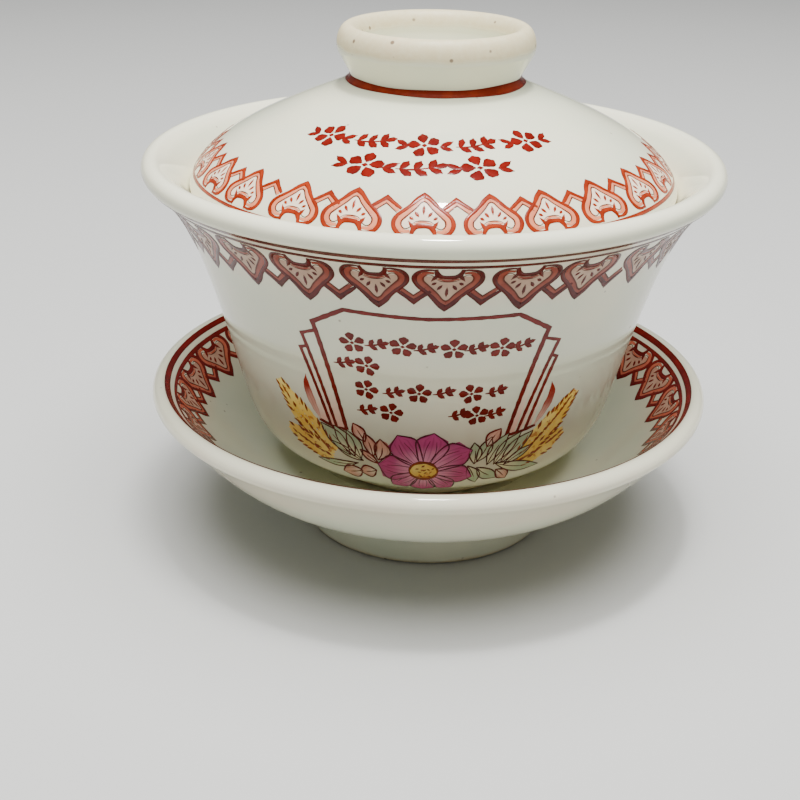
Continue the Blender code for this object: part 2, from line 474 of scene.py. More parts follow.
def stippled_enamel(name, base, light, mark):
    """Wheat and stamen enamel: yellow, dabbed with darker marks."""
    finish = Finish(name, 0.18, ENAMEL_SHEEN)
    base, light, mark = colour(*base), colour(*light), colour(*mark)
    wash = finish.fade(finish.noise(220.0, 3.0), 0.35, 0.65)
    tint = finish.blend(wash, base, light)
    dab = finish.fade(finish.noise(700.0, 2.0, 0.6), 0.56, 0.66)
    tint = finish.blend(dab * 0.8, tint, mark)
    finish.set("Base Color", tint)
    finish.set("Roughness", wash * 0.08 + 0.16)
    finish.bump(wash - dab, 0.6 * RELIEF)
    return finish.material


RED = enamel("iron_red", (0.385, 0.098, 0.052), (0.580, 0.212, 0.115), 0.35)
# The saucer's iron red: the same enamel as the lid's, painted darker as painted shade on the
# saucer's border and lines.
SAUCER_RED_PAINTED_SHADE = enamel("iron_red_with_painted_shade", (0.320, 0.045, 0.030), (0.500, 0.105, 0.065), 0.35)
# The cup's iron red: the same enamel again, painted darker still as painted shade on the cup's
# border under its lip.
CUP_RED_PAINTED_DEEP_SHADE = enamel("iron_red_with_painted_deep_shade", (0.210, 0.030, 0.025), (0.360, 0.065, 0.050), 0.35)
PEACH = enamel("peach_wash", (0.765, 0.405, 0.290), (0.835, 0.530, 0.400), 0.5)
# The cup's peach: the lid's peach wash painted much darker, as painted shade under the cup's lip.
CUP_PEACH_PAINTED_DEEP_SHADE = enamel("peach_wash_with_painted_deep_shade", (0.440, 0.170, 0.130), (0.560, 0.270, 0.210), 0.5)
# The saucer's peach: the lid's peach wash painted darker, as painted shade on the saucer's border.
SAUCER_PEACH_PAINTED_SHADE = enamel("peach_wash_with_painted_shade", (0.700, 0.300, 0.220), (0.800, 0.430, 0.330), 0.5)
BROWN = enamel("brown_line", (0.230, 0.090, 0.060), (0.360, 0.150, 0.100), 0.3)
DARK_RED = enamel("dark_red", (0.310, 0.055, 0.045), (0.465, 0.115, 0.085), 0.3)
PLUM = enamel("plum_line", (0.270, 0.040, 0.130), (0.380, 0.070, 0.200), 0.2)
RUST = enamel("rust_mark", (0.420, 0.150, 0.050), (0.600, 0.280, 0.100), 0.4)
LID_WASH = enamel("pale_lappet_wash", (0.900, 0.790, 0.690), (0.915, 0.840, 0.745), 0.5)
# The cup's lappets are filled with a dusky sheet: painted shade inside them.
CUP_LAPPET_PAINTED_SHADE = enamel("painted_shade_in_cup_lappets", (0.640, 0.500, 0.420), (0.730, 0.620, 0.530), 0.5)
# The saucer's lappets are filled with a rosy tint, painted darker than the lid's pale one: partly
# painted shade.
SAUCER_LAPPET_WASH_PAINTED_SHADE = enamel("rosy_lappet_wash_with_painted_shade", (0.700, 0.500, 0.420), (0.790, 0.620, 0.530), 0.5)
MAGENTA = shaded_enamel(
    "magenta_petal", (0.970, 0.660, 0.800), (0.775, 0.295, 0.530),
    (0.520, 0.130, 0.320), 4.0,
)
LEAF = shaded_enamel(
    "grey_leaf", (0.930, 0.910, 0.750), (0.700, 0.770, 0.620),
    (0.640, 0.640, 0.480), 2.0,
)
ROSY_LEAF = shaded_enamel(
    "rosy_leaf", (0.930, 0.860, 0.770), (0.870, 0.650, 0.560),
    (0.560, 0.180, 0.140), 3.0,
)
BLADE = shaded_enamel(
    "red_blade", (0.880, 0.700, 0.610), (0.560, 0.170, 0.120),
    (0.480, 0.130, 0.100), 2.0,
)
PINK_WASH = shaded_enamel(
    "pink_wash", (0.920, 0.740, 0.650), (0.900, 0.860, 0.760),
    (0.880, 0.790, 0.690), 1.0,
)
YELLOW = stippled_enamel(
    "wheat_yellow", (0.960, 0.790, 0.330), (1.000, 0.900, 0.500),
    (0.760, 0.420, 0.140),
)

# ---------------- modelling


def clear_selection():
    bpy.ops.object.select_all(action="DESELECT")


def turned(name, outline, finish, body, node):
    """A ware drawn out point by point from its axis, spun about Z and closed."""
    clear_selection()
    bpy.ops.mesh.primitive_plane_add(size=MM, location=(outline[0].x, 0.0, outline[0].y))
    ware = bpy.context.object
    ware.name = name
    bpy.ops.object.transform_apply(location=True, rotation=False, scale=False)
    bpy.ops.object.mode_set(mode="EDIT")
    bpy.ops.mesh.merge(type="CENTER")
    for before, after in zip(outline, outline[1:]):
        step = after - before
        bpy.ops.mesh.extrude_vertices_move(
            TRANSFORM_OT_translate={"value": (step.x, 0.0, step.y)}
        )
    bpy.ops.mesh.select_all(action="SELECT")
    bpy.ops.mesh.spin(steps=TURN_STEPS, angle=math.tau, center=(0, 0, 0), axis=(0, 0, 1))
    bpy.ops.mesh.select_all(action="SELECT")
    bpy.ops.mesh.remove_doubles(threshold=0.003 * MM)
    bpy.ops.mesh.normals_make_consistent(inside=False)
    bpy.ops.object.mode_set(mode="OBJECT")
    bpy.ops.object.shade_smooth_by_angle(angle=math.radians(60))
    ware.data.materials.append(finish)
    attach(ware, body)
    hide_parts(node)


class Surface:
    """The side of a ware that is painted: a line turned about Z, measured from its first point."""

    def __init__(self, line, spread):
        self.line = line
        self.spread = spread      # the radius at which painting is as wide as it is drawn
        self.lengths = lengths_along(line)

    def at(self, distance):
        """The point at this distance along the line, and the way the surface faces there."""
        index = 0
        while index < len(self.line) - 2 and self.lengths[index + 1] < distance:
            index += 1
        before, after = self.line[index], self.line[index + 1]
        share = (distance - self.lengths[index]) / (self.lengths[index + 1] - self.lengths[index])
        along = (after - before).normalized()
        return before.lerp(after, share), Vector((along.y, -along.x))

    def along(self, radius=None, height=None):
        """Distance along the line to where it first passes this radius or height."""
        axis, target = (0, radius) if height is None else (1, height)
        for index, (before, after) in enumerate(zip(self.line, self.line[1:])):
            low, high = sorted((before[axis], after[axis]))
            if low <= target <= high:
                share = (target - before[axis]) / (after[axis] - before[axis])
                return self.lengths[index] + share * (after - before).length
        return self.lengths[-1]

    def place(self, turn, distance, lift):
        point, facing = self.at(distance)
        point = point + facing * lift
        return Vector((point.x * math.sin(turn), -point.x * math.cos(turn), point.y))


def smooth(points, steps=6):
    """A smooth line through the points."""
    points = [Vector(point) for point in points]
    line = []
    for index in range(len(points) - 1):
        start, end = points[index], points[index + 1]
        before = points[index - 1] if index else start
        after = points[index + 2] if index + 2 < len(points) else end
        start_handle = start + (end - before) / 6
        end_handle = end - (after - start) / 6
        line += interpolate_bezier(start, start_handle, end_handle, end, steps + 1)[:-1]
    return [Vector(point[:2]) for point in line] + [points[-1]]


def cornered(*parts, steps=6):
    """Smooth lines that meet at corners."""
    line = []
    for part in parts:
        piece = smooth(part, steps)
        line += piece[1:] if line else piece
    return line


def mirrored(points):
    return [(-x, y) for x, y in reversed(points)]


def even(points, spacing):
    """Points at even spacing along the line through the points, its sharp corners kept."""
    line = [Vector(point) for point in points]
    result = [line[0]]
    for before, after in zip(line, line[1:]):
        count = max(1, round((after - before).length / spacing))
        result += [before.lerp(after, step / count) for step in range(1, count + 1)]
    return result


def brush(points, widths, relief=0.04, columns=3, waver=0.06):
    """One stroke of enamel, flat, in millimetres: its widths are spread evenly along it."""
    line = [Vector(point) for point in points]
    clear_selection()
    bpy.ops.mesh.primitive_grid_add(x_subdivisions=len(line) - 1, y_subdivisions=columns, size=1.0)
    stroke = bpy.context.object
    lengths = lengths_along(line)
    total = lengths[-1]
    phase = HAND.random() * 6.0
    sides = []
    for index, point in enumerate(line):
        behind = (point - line[index - 1]).normalized() if index else None
        ahead = (line[index + 1] - point).normalized() if index + 1 < len(line) else behind
        behind = behind or ahead
        along = (behind + ahead).normalized()
        side = left_of(along)
        square = max(0.5, side.dot(left_of(ahead)))
        share = lengths[index] / total * (len(widths) - 1)
        step = min(int(share), len(widths) - 2)
        blend = share - step
        blend = blend * blend * (3 - 2 * blend)
        width = widths[step] + (widths[step + 1] - widths[step]) * blend
        width *= 1 + waver * math.sin(phase + lengths[index] * 2.7)
        sides.append(side * width / square)
    rows = len(line)
    for vertex in stroke.data.vertices:
        index = round((vertex.co.x + 0.5) * (rows - 1))
        across = vertex.co.y
        flat = line[index] + sides[index] * across
        crown = relief * (1 - 4 * across * across)
        vertex.co = (flat.x, flat.y, crown)
    return stroke


def gathered(name, strokes):
    """Several strokes as one flat motif."""
    clear_selection()
    for stroke in strokes:
        stroke.select_set(True)
    bpy.context.view_layer.objects.active = strokes[0]
    if len(strokes) > 1:
        bpy.ops.object.join()
    motif = bpy.context.object
    motif.name = name
    return motif


def laid(motif, surface, turn, foot, scale=1.0, tall=1.0, upside_down=False, lift=0.02, lean=0.0):
    """A copy of a flat motif, laid on a surface with its foot at this turn and distance."""
    copy = motif.copy()
    copy.data = motif.data.copy()
    bpy.context.collection.objects.link(copy)
    sign = -1.0 if upside_down else 1.0
    for vertex in copy.data.vertices:
        x = (vertex.co.x + lean * vertex.co.y) * sign * scale * MM
        y = vertex.co.y * sign * scale * tall * MM
        vertex.co = surface.place(turn + x / surface.spread, foot + y, (vertex.co.z + lift) * MM)
    return copy


def fired(name, copies, finish, body):
    """Laid strokes as one enamelled piece, with its thickness let into the glaze."""
    piece = gathered(name, copies)
    bpy.ops.object.mode_set(mode="EDIT")
    bpy.ops.mesh.select_all(action="SELECT")
    bpy.ops.mesh.remove_doubles(threshold=0.004 * MM)
    bpy.ops.object.mode_set(mode="OBJECT")
    solid = piece.modifiers.new("Thickness", "SOLIDIFY")
    solid.thickness = 0.09 * MM
    solid.offset = -1.0
    bpy.ops.object.modifier_apply(modifier=solid.name)
    bpy.ops.object.shade_smooth_by_angle(angle=math.radians(50))
    piece.data.uv_layers[0].name = "Stroke"
    piece.data.materials.clear()
    piece.data.materials.append(finish)
    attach(piece, body)


def discarded(*motifs):
    for motif in motifs:
        bpy.data.objects.remove(motif)


# ---------------- the lappet border

# Half of a lappet, in millimetres up from its foot, 10 wide and 8 high over all
LAPPET_EDGE = [(1.75, 1.15), (1.95, 0.45), (2.9, 0.36), (3.95, 0.75), (4.6, 1.7), (4.62, 2.8),
               (4.05, 3.8), (3.0, 4.75), (2.0, 5.75), (1.0, 6.9)]
LAPPET_TIP = (0.0, 7.65)
BAND_EDGE = [(2.05, 1.05), (2.95, 0.98), (3.6, 1.45), (3.98, 2.1), (3.9, 2.85), (3.4, 3.6),
             (2.4, 4.6), (1.45, 5.65), (0.65, 6.6)]
BAND_TIP = (0.0, 6.95)
INNER_EDGE = [(2.0, 1.75), (2.45, 1.45), (2.95, 1.45), (3.4, 1.95), (3.38, 2.7), (2.9, 3.3),
              (2.0, 4.25), (1.15, 5.2), (0.5, 6.1)]
INNER_TIP = (0.0, 6.4)


RAYS = [  # foot, lean and length of the strokes inside a lappet
    (0.0, 3.9, 0.0, 1.75), (0.72, 3.45, 0.62, 1.2), (-0.72, 3.45, -0.62, 1.2),
    (1.55, 3.0, 1.0, 0.85), (-1.55, 3.0, -1.0, 0.85),
]
CHEVRONS = [  # coat, half width, foot, tip, widths of its line, relief, columns
    ("red", 2.55, 4.75, 6.75, (0.55, 0.7, 0.85, 0.7, 0.55), 0.05, 4),
    ("peach", 2.1, 4.3, 6.05, (0.5, 0.62, 0.7, 0.62, 0.5), 0.02, 3),
    ("brown", 1.85, 4.0, 5.62, (0.12, 0.2, 0.22, 0.2, 0.12), 0.03, 2),
]
# How high a lappet's coats stand over the glaze, in millimetres, and how much lower a chevron's
BORDER_COATS = {"red": 0.030, "peach": 0.015, "brown": 0.030}
WASH_COAT = 0.004
CHEVRON_DROP = 0.008


def lappet_line(half, tip, widths, relief, columns):
    """A line that follows both halves of the lappet round its tip."""
    line = cornered(half + [tip], mirrored(half + [tip]), steps=4)
    return brush(line, widths, relief, columns)


def lappet():
    """The motif of the border: an outer red line, a peach band and fine brown and red strokes."""
    arch = [(-1.75, 0.15), (-1.62, 1.1), (-0.9, 1.85), (0.9, 1.85), (1.62, 1.1), (1.75, 0.15)]
    red = [
        lappet_line(LAPPET_EDGE, LAPPET_TIP, (0.35, 0.72, 0.62, 0.95, 0.62, 0.72, 0.35), 0.05, 4),
        brush(smooth(arch, 4), (0.45, 0.85, 0.75, 0.85, 0.45), 0.05, 4),
    ]
    for hand in (-1.0, 1.0):
        horn = smooth([(hand * 2.35, 2.75), (hand * 1.95, 2.2), (hand * 1.5, 1.5)], 4)
        red.append(brush(horn, (0.1, 0.55, 0.7), 0.04, 3))
    for x, y, lean, length in RAYS:
        end = (x + length * math.sin(lean), y + length * math.cos(lean))
        red.append(brush(smooth([(x, y), end], 6), (0.08, 0.46, 0.5, 0.06), 0.05, 3))
    peach = [
        lappet_line(BAND_EDGE, BAND_TIP, (0.5, 0.95, 0.95, 1.0, 0.95, 0.95, 0.5), 0.02, 3),
        brush(smooth([(-1.45, 2.25), (0.0, 2.62), (1.45, 2.25)], 5), (0.2, 0.42, 0.2), 0.02, 3),
    ]
    brow = smooth([(-1.75, 2.2), (-0.9, 2.75), (0.9, 2.75), (1.75, 2.2)], 5)
    brown = [
        lappet_line(INNER_EDGE, INNER_TIP, (0.12, 0.24, 0.2, 0.24, 0.2, 0.24, 0.12), 0.03, 2),
        brush(brow, (0.08, 0.2, 0.08), 0.03, 2),
    ]
    return [
        gathered("lappet_" + coat, strokes)
        for coat, strokes in zip(BORDER_COATS, (red, peach, brown))
    ]


def chevron():
    """The smaller point that shows between two lappets."""
    motifs = []
    for coat, half, foot, tip, widths, relief, columns in CHEVRONS:
        line = even([(-half, foot), (0.0, tip), (half, foot)], 0.5)
        motifs.append(gathered("chevron_" + coat, [brush(line, widths, relief, columns)]))
    return motifs


def border(ware, surface, foot, count, phase, scale, tall, upside_down, enamels):
    """Lappets and chevrons in turn all the way round a ware."""
    coats = {coat: [] for coat in BORDER_COATS}
    washes = []
    pitch = math.tau / count
    for index in range(count):
        turn = phase + pitch * index + HAND.uniform(-0.05, 0.05) * pitch
        shape = (scale * HAND.uniform(0.96, 1.03), tall, upside_down)
        lean = HAND.uniform(-0.06, 0.06)
        between = turn + 0.5 * pitch
        washes.append(laid(lappet_wash, surface, turn, foot, *shape, WASH_COAT, lean))
        for (coat, lift), motif, point in zip(BORDER_COATS.items(), lappets, chevrons):
            coats[coat] += [
                laid(motif, surface, turn, foot, *shape, lift, lean),
                laid(point, surface, between, foot, *shape, lift - CHEVRON_DROP, lean),
            ]
    for coat, finish in zip(coats, enamels):
        fired(f"{ware}_border_{coat}", coats[coat], finish, ware)
    fired(f"{ware}_border_wash", washes, enamels[-1], ware)


def ring_line(surface, distance, width, relief=0.05, ripple=0.06):
    """A line painted right round a ware on the wheel."""
    steps = 240
    clear_selection()
    bpy.ops.mesh.primitive_grid_add(x_subdivisions=steps, y_subdivisions=3, size=1.0)
    line = bpy.context.object
    start = HAND.random() * math.tau
    for vertex in line.data.vertices:
        turn = (vertex.co.x + 0.5) * math.tau
        across = vertex.co.y
        swell = 1 + 0.16 * math.sin(2 * turn + start) + 0.08 * math.sin(7 * turn + 2 * start)
        wander = ripple * (math.sin(turn + start) + 0.5 * math.sin(3 * turn))
        height = relief * (1 - 4 * across * across)
        vertex.co = surface.place(
            turn + math.pi, distance + (across * width * swell + wander) * MM, (height + 0.03) * MM
        )
    return line


# ---------------- the wares

saucer_outline, saucer_inside = saucer_lines()
cup_outline, cup_outside = cup_lines()
lid_outline, lid_outside = lid_lines()

saucer_glaze = glaze(
    "saucer_glaze", (SAUCER_Z + SAUCER_HEIGHT, 2.2 * MM),
    (SAUCER_FOOT_RADIUS - SAUCER_FOOT_WIDTH / 2, SAUCER_Z, 2.3 * MM),
    (SAUCER_Z + 21.0 * MM, SAUCER_Z + 29.2 * MM),
)
cup_glaze = glaze(
    "cup_glaze", (CUP_Z + CUP_HEIGHT, 2.2 * MM),
    (CUP_FOOT_RADIUS - CUP_FOOT_WIDTH / 2, CUP_Z, 2.0 * MM),
    (CUP_Z + 46.5 * MM, CUP_Z + 56.5 * MM),
)
knob_top = LID_Z + LID_RISE + KNOB_HEIGHT
lid_glaze = glaze(
    "lid_glaze", (LID_Z, 1.6 * MM),
    (KNOB_NECK_RADIUS + 0.6 * MM, knob_top - 1.5 * MM, 3.0 * MM),
    (LID_Z + 2.0 * MM, LID_Z + 7.5 * MM),
)

turned("saucer_ware", raised(saucer_outline, SAUCER_Z), saucer_glaze, "saucer", "saucer")
turned("cup_ware", raised(cup_outline, CUP_Z), cup_glaze, "cup", "cup")
turned("lid_ware", raised(lid_outline, LID_Z), lid_glaze, "lid", "lid")

saucer_face = Surface(raised(saucer_inside, SAUCER_Z), 46.0 * MM)
cup_face = Surface(raised(cup_outside, CUP_Z), 46.5 * MM)
lid_face = Surface(raised(lid_outside, LID_Z), 41.6 * MM)

lappets = lappet()
chevrons = chevron()
lappet_wash = gathered("lappet_wash", [
    brush(smooth([(0.0, 1.7), (0.0, 7.0)], 16), (7.5, 7.9, 7.0, 5.6, 4.0, 2.2, 0.1), 0.01, 6, 0.0),
])

lid_foot = lid_face.along(height=LID_Z + 2.6 * MM)
border("lid", lid_face, lid_foot, 24, math.radians(-2.3), 1.0, 1.0, False,
       (RED, PEACH, BROWN, LID_WASH))
cup_foot = cup_face.along(height=CUP_Z + 54.6 * MM)
# The cup's border takes darkened copies of the enamels and a dusky fill: painted shade under the
# lip.
border("cup", cup_face, cup_foot, 25, math.radians(3.7), 1.10, 1.13, True,
       (CUP_RED_PAINTED_DEEP_SHADE, CUP_PEACH_PAINTED_DEEP_SHADE, BROWN, CUP_LAPPET_PAINTED_SHADE))
saucer_foot = saucer_face.along(radius=49.0 * MM)
# The saucer's border takes darker copies of the enamels and a rosy fill: painted shade.
border("saucer", saucer_face, saucer_foot, 26, math.radians(2.0), 1.15, 1.0, False,
       (SAUCER_RED_PAINTED_SHADE, SAUCER_PEACH_PAINTED_SHADE, BROWN, SAUCER_LAPPET_WASH_PAINTED_SHADE))
discarded(*lappets, *chevrons, lappet_wash)

fired("lid_edge_line", [
    ring_line(lid_face, lid_face.along(height=LID_Z + 2.3 * MM), 0.7),
], RED, "lid")
fired("lid_neck_line", [
    ring_line(lid_face, lid_face.lengths[-1] - 0.9 * MM, 1.5, ripple=0.03),
], RED, "lid")
# The cup's ring lines use the iron red painted darkest: painted shade under the lip.
fired("cup_lines", [
    ring_line(cup_face, cup_face.along(height=CUP_Z + 55.0 * MM), 0.8),
    ring_line(cup_face, cup_face.along(height=CUP_Z + 56.5 * MM), 1.3),
], CUP_RED_PAINTED_DEEP_SHADE, "cup")
# The saucer's ring lines use the iron red painted darker: painted shade.
fired("saucer_lines", [
    ring_line(saucer_face, saucer_face.along(radius=50.2 * MM), 1.2),
    ring_line(saucer_face, saucer_face.along(radius=48.8 * MM), 0.8),
], SAUCER_RED_PAINTED_SHADE, "saucer")

# ---------------- the painting on the cup and lid

# Places are millimetres right of the cup's front and up from its belly, as if unrolled
PANEL = [(-14.6, 7.6), (-17.6, 30.0), (-12.1, 33.7), (0.0, 33.1), (12.9, 33.5), (18.3, 29.7),
         (14.9, 7.2)]
PAGES = [  # the edges of the pages behind the panel, left then right, and the line under each side
    [(-17.3, 28.3), (-20.1, 27.0), (-16.6, 7.7)], [(-19.6, 24.4), (-21.0, 23.8), (-17.8, 8.1)],
    [(18.0, 27.7), (20.8, 26.7), (16.9, 7.6)], [(20.3, 23.6), (21.3, 23.1), (18.5, 7.8)],
    [(-14.6, 7.6), (-17.2, 7.6), (-20.1, 8.6)], [(14.9, 7.2), (17.4, 7.5), (20.6, 8.4)],
]
PAGE_WASHES = [  # foot, top, width
    ((15.7, 7.7), (17.9, 22.0), 1.4), ((17.2, 8.0), (19.3, 20.0), 1.1),
    ((18.9, 8.6), (20.4, 17.0), 1.4),
]
BLADES = [
    [(-19.8, 8.6), (-21.0, 12.2), (-21.5, 15.4), (-21.2, 18.0)],
    [(20.3, 8.5), (21.8, 11.6), (22.5, 14.8), (21.8, 17.6)],
]
BLOSSOM_HEART = (-0.3, -0.1)
PETALS = [  # tip, greatest width, how far its middle bows to the left
    ((-0.4, -7.4), 5.2, 0.0), ((5.8, -6.0), 4.4, 0.0), ((-6.8, -5.4), 4.6, 0.0),
    ((9.4, -2.0), 4.8, 0.3), ((-9.1, 0.9), 6.4, 0.5), ((8.7, 4.8), 5.6, 0.6),
    ((-5.1, 8.0), 5.6, 0.3), ((1.5, 8.8), 6.0, -0.3),
]
LEAVES = [  # foot, tip, width, bow
    ((-13.2, 0.2), (-22.8, -1.2), 1.7, 0.5), ((-12.0, 1.0), (-18.2, 4.4), 1.9, 0.2),
    ((-14.6, 1.8), (-20.0, 7.9), 3.4, -0.3), ((-13.6, 1.8), (-17.2, 8.0), 3.1, -0.3),
    ((-12.4, 1.4), (-14.7, 7.6), 2.8, -0.2),
    ((9.4, 1.4), (8.9, 6.4), 2.5, -0.2), ((9.8, 1.8), (12.1, 7.4), 2.6, -0.2),
    ((12.0, 0.8), (15.4, 7.8), 2.7, 0.4), ((13.4, 0.7), (17.9, 7.6), 2.8, 0.4),
    ((14.8, 0.8), (20.4, 7.2), 2.9, 0.4), ((15.6, 0.3), (21.2, 4.0), 1.9, 0.1),
    ((8.2, 1.0), (10.6, -4.2), 2.7, 0.2), ((10.0, 0.4), (15.2, -3.4), 2.9, -0.3),
    ((13.6, 1.0), (24.6, -2.0), 2.7, -0.4),
]
OPEN_LEAVES = [
    ((-11.2, 5.6), (-13.2, 9.4), 2.5, 0.0), ((-9.9, 2.4), (-11.2, 7.6), 2.4, -0.2),
    ((-9.0, 1.8), (-8.3, 6.7), 3.2, -0.6), ((-9.0, 0.9), (-12.4, 3.7), 1.5, 0.0),
    ((-9.6, -1.0), (-13.2, -2.0), 3.3, 0.2), ((-12.6, -1.6), (-17.3, -3.2), 3.7, 0.2),
    ((11.4, 5.2), (13.6, 9.0), 2.6, 0.2), ((14.2, -0.8), (17.4, -4.4), 2.6, 0.2),
]
EARS = [  # the line of the ear from its foot to its tip, its width
    ([(-18.6, 1.6), (-21.8, 5.4), (-25.0, 9.4), (-27.8, 13.9)], 5.2),
    ([(-18.6, 0.6), (-21.4, 1.5), (-24.6, 2.7), (-27.9, 4.0)], 4.6),
    ([(18.8, 1.4), (22.0, 5.0), (25.2, 8.8), (28.0, 13.0)], 5.2),
    ([(18.6, 0.2), (21.4, 1.4), (24.4, 2.8), (27.5, 4.6)], 4.6),
]
ORNAMENT_ROWS = [  # height, places along it
    (26.9, (-11.5, -7.7, -3.9, -0.1, 3.7, 7.4, 11.0, 14.4)), (22.6, (-13.4, -9.4)),
    (17.4, (-9.9, -5.6, -1.3, 3.0, 7.3, 11.6)), (12.7, (-10.3, -6.1, 5.4, 8.7, 12.0)),
]
LID_ROWS = [(80.9, (-38.0, -20.5, -3.0, 15.0, 33.5)), (78.5, (-19.5, -3.0, 13.5))]  # height, turns
# How high each coat on the cup stands over the glaze, in millimetres
COATS = {
    "panel_lines": 0.030, "page_washes": 0.012, "blades": 0.020, "ornaments": 0.020,
    "leaves": 0.055, "leaf_lines": 0.080, "rosy_leaves": 0.060, "open_leaves": 0.090,
    "petals": 0.080, "petal_lines": 0.100, "blossom_heart": 0.120, "stamens": 0.160,
    "wheat": 0.010, "wheat_marks": 0.050,
}
FRAME_LINE = (0.78, 0.86, 0.76, 0.86, 0.78)
PAGE_LINE = (0.6, 0.7, 0.64, 0.7, 0.62)
CUP_SPREAD = 38.0 * MM
LID_SPREAD = 30.0 * MM
BELLY_LINE = 25.5 * MM


def line_brush(points, width=0.42, steps=5):
    """A thin line of even weight through the points."""
    return brush(smooth(points, steps), (0.6 * width, width, 0.9 * width, width, 0.6 * width),
                 0.035, 2, 0.12)


def sides(foot, tip, width, bow):
    """The two edges and the spine of a leaf or petal."""
    foot, tip = Vector(foot), Vector(tip)
    side = left_of((tip - foot).normalized())
    return [
        [foot, foot.lerp(tip, 0.3) + side * (bow + 0.42 * share * width),
         foot.lerp(tip, 0.62) + side * (bow + 0.5 * share * width), tip]
        for share in (-0.93, 0.0, 0.93)
    ]


def leaf_fill(foot, tip, width, bow):
    spine = sides(foot, tip, width, bow)[1]
    return brush(smooth(spine, 4), (0.1 * width, 0.72 * width, 0.96 * width, 0.8 * width, 0.04),
                 0.025, 6, 0.02)


def leaf_lines(foot, tip, width, bow, line=0.3):
    left, spine, right = sides(foot, tip, width, bow)
    return [line_brush(left, line, 4), line_brush(right, line, 4),
            line_brush(spine[:3], 0.7 * line, 4)]


def petal_fill(tip, width, bow):
    """A broad petal that starts beside the blossom's heart."""
    heart = Vector(BLOSSOM_HEART)
    foot = heart + (Vector(tip) - heart).normalized() * 1.6
    spine = sides(foot, tip, width, bow)[1]
    return brush(
        smooth(spine, 5), (0.3 * width, 0.7 * width, 0.95 * width, 0.98 * width, 0.2), 0.03, 8,
        0.03,
    )


def petal_lines(tip, width, bow):
    """The two edges of a petal, each with a vein beside it."""
    heart, tip = Vector(BLOSSOM_HEART), Vector(tip)
    foot = heart + (tip - heart).normalized() * 2.0
    side = left_of((tip - foot).normalized())
    lines = []
    for share in (-1.0, 1.0):
        edge = [
            foot + side * share * 0.2 * width,
            foot.lerp(tip, 0.32) + side * (bow + share * 0.41 * width),
            foot.lerp(tip, 0.7) + side * (bow + share * 0.49 * width),
            tip,
        ]
        vein = [
            foot + side * share * 0.08 * width,
            foot.lerp(tip, 0.4) + side * (bow + share * 0.16 * width),
            foot.lerp(tip, 0.74) + side * (bow + share * 0.1 * width),
        ]
        lines += [line_brush(edge, 0.3, 4), line_brush(vein, 0.18, 4)]
    return lines


def ear_grains(line, width):
    """Grains in pairs along an ear, and the dabs that part them."""
    path = even(smooth(line, 4), 0.25)
    count = round(len(path) / 4.6)
    grains, dabs = [], []
    total = len(path) - 1
    for index in range(count):
        share = (index + 0.5) / count
        spot = path[round(share * total)]
        ahead = path[min(total, round(share * total) + 2)]
        behind = path[max(0, round(share * total) - 2)]
        along = (ahead - behind).normalized()
        side = left_of(along)
        reach = 0.5 * width * min(1.0, 0.8 + share) * min(1.0, 2.0 * (1.1 - share))
        for hand in (-1.0, 0.0, 1.0):
            foot = spot + side * hand * reach * 0.35 - along * 0.7
            tip = spot + side * hand * reach * HAND.uniform(0.95, 1.1) + along * 1.5
            grains.append(brush(smooth([foot, foot.lerp(tip, 0.5), tip], 3),
                                (0.4, 1.6, 1.6, 0.14), 0.03, 4, 0.05))
            if HAND.random() < 0.8:
                start = foot.lerp(tip, HAND.uniform(0.2, 0.45)) + side * 0.5 * (hand or 0.6)
                end = tip + side * 0.22 * hand
                dabs.append(brush(smooth([start, end], 5), (0.08, 0.62, 0.5, 0.06), 0.04, 3, 0.2))
    return grains, dabs


def blossom(size, place):
    """A small plain blossom: five round petals about a dot."""
    centre = Vector(place)
    turn = HAND.uniform(-0.3, 0.3)
    half_dot = Vector((0.09 * size, 0.0))
    strokes = [brush(smooth([centre - half_dot, centre + half_dot], 6),
                     (0.04 * size, 0.17 * size, 0.04 * size), 0.05, 3)]
    for index in range(5):
        way = heading(turn + math.tau * index / 5 + math.pi / 2)
        start, end = centre + way * 0.12 * size, centre + way * 0.56 * size
        widths = [share * size for share in (0.06, 0.24, 0.38, 0.38, 0.08)]
        strokes.append(brush(smooth([start, end], 8), widths, 0.05, 4))
    return strokes


def sprig(width, place, rise, pairs):
    """A small plain sprig: a curved stem with leaves to both sides and one at its tip."""
    centre = Vector(place)
    stem = smooth([centre + Vector((-0.5 * width, -rise * width)),
                   centre + Vector((-0.1 * width, -0.05 * width)),
                   centre + Vector((0.3 * width, rise * width))], 6)
    strokes = [brush(stem, (0.2, 0.45, 0.3), 0.04, 2)]
    ways = [(stem[-1], 0.3)]
    leaf = 0.9 + 0.19 * width
    for index in range(pairs):
        spot = stem[round((index + 0.6) / pairs * (len(stem) - 1))]
        ways += [(spot, 0.3 + 0.85), (spot, 0.3 - 0.9)]
    for spot, angle in ways:
        way = heading(angle + HAND.uniform(-0.1, 0.1))
        strokes.append(brush(smooth([spot, spot + way * leaf], 6),
                             (0.2 * leaf, 0.52 * leaf, 0.6 * leaf, 0.1 * leaf), 0.05, 3))
    return strokes


def side_leaves(place, hand):
    """Two leaves on one side of a blossom."""
    start = Vector(place) + Vector((hand * 2.7, -0.3))
    strokes = []
    for angle, length in ((0.5, 2.9), (-0.4, 2.5)):
        end = start + Vector((hand * length * math.cos(angle), length * math.sin(angle)))
        strokes.append(brush(smooth([start, end], 8), (0.15, 1.05, 1.15, 0.12), 0.05, 4))
    return strokes


def painted(name, strokes, surface, finish, body, foot=0.0, lift=0.02):
    """Flat strokes laid on a ware's front as one enamelled piece."""
    motif = gathered(name + "_flat", strokes)
    fired(name, [laid(motif, surface, 0.0, foot, lift=lift)], finish, body)
    discarded(motif)


